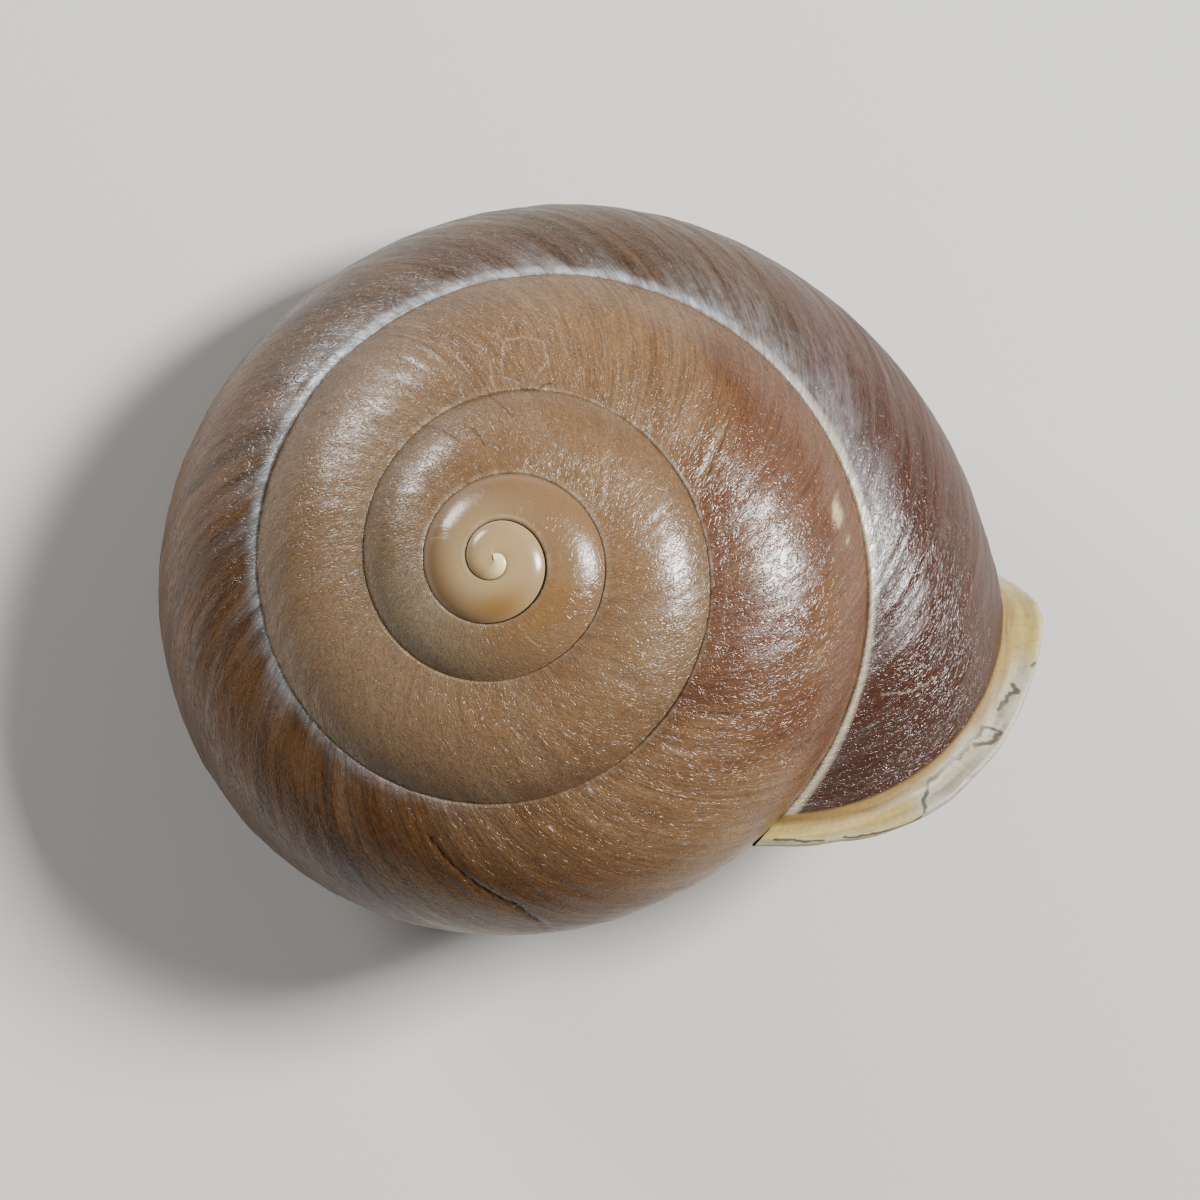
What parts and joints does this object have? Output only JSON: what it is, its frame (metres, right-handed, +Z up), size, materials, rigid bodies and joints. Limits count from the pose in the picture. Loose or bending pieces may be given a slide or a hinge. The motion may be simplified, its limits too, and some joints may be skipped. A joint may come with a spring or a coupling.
{
  "type": "land snail shell",
  "caption": "Empty land snail shell: low brown right-handed coil with a pale turned-back lip, lying on its base with the apex up.",
  "frame": {"origin": "centre of the shell's box, on the surface that it lies on", "axes": "+Z up, towards the apex; +X towards the side where the lip stands out; -Y towards the side that the mouth opens to"},
  "size_m": [0.0502, 0.0414, 0.0249],
  "materials": {
    "shell": "satin"
  },
  "bodies": {
    "root": {"shell": "shell"}
  },
  "joints": []
}
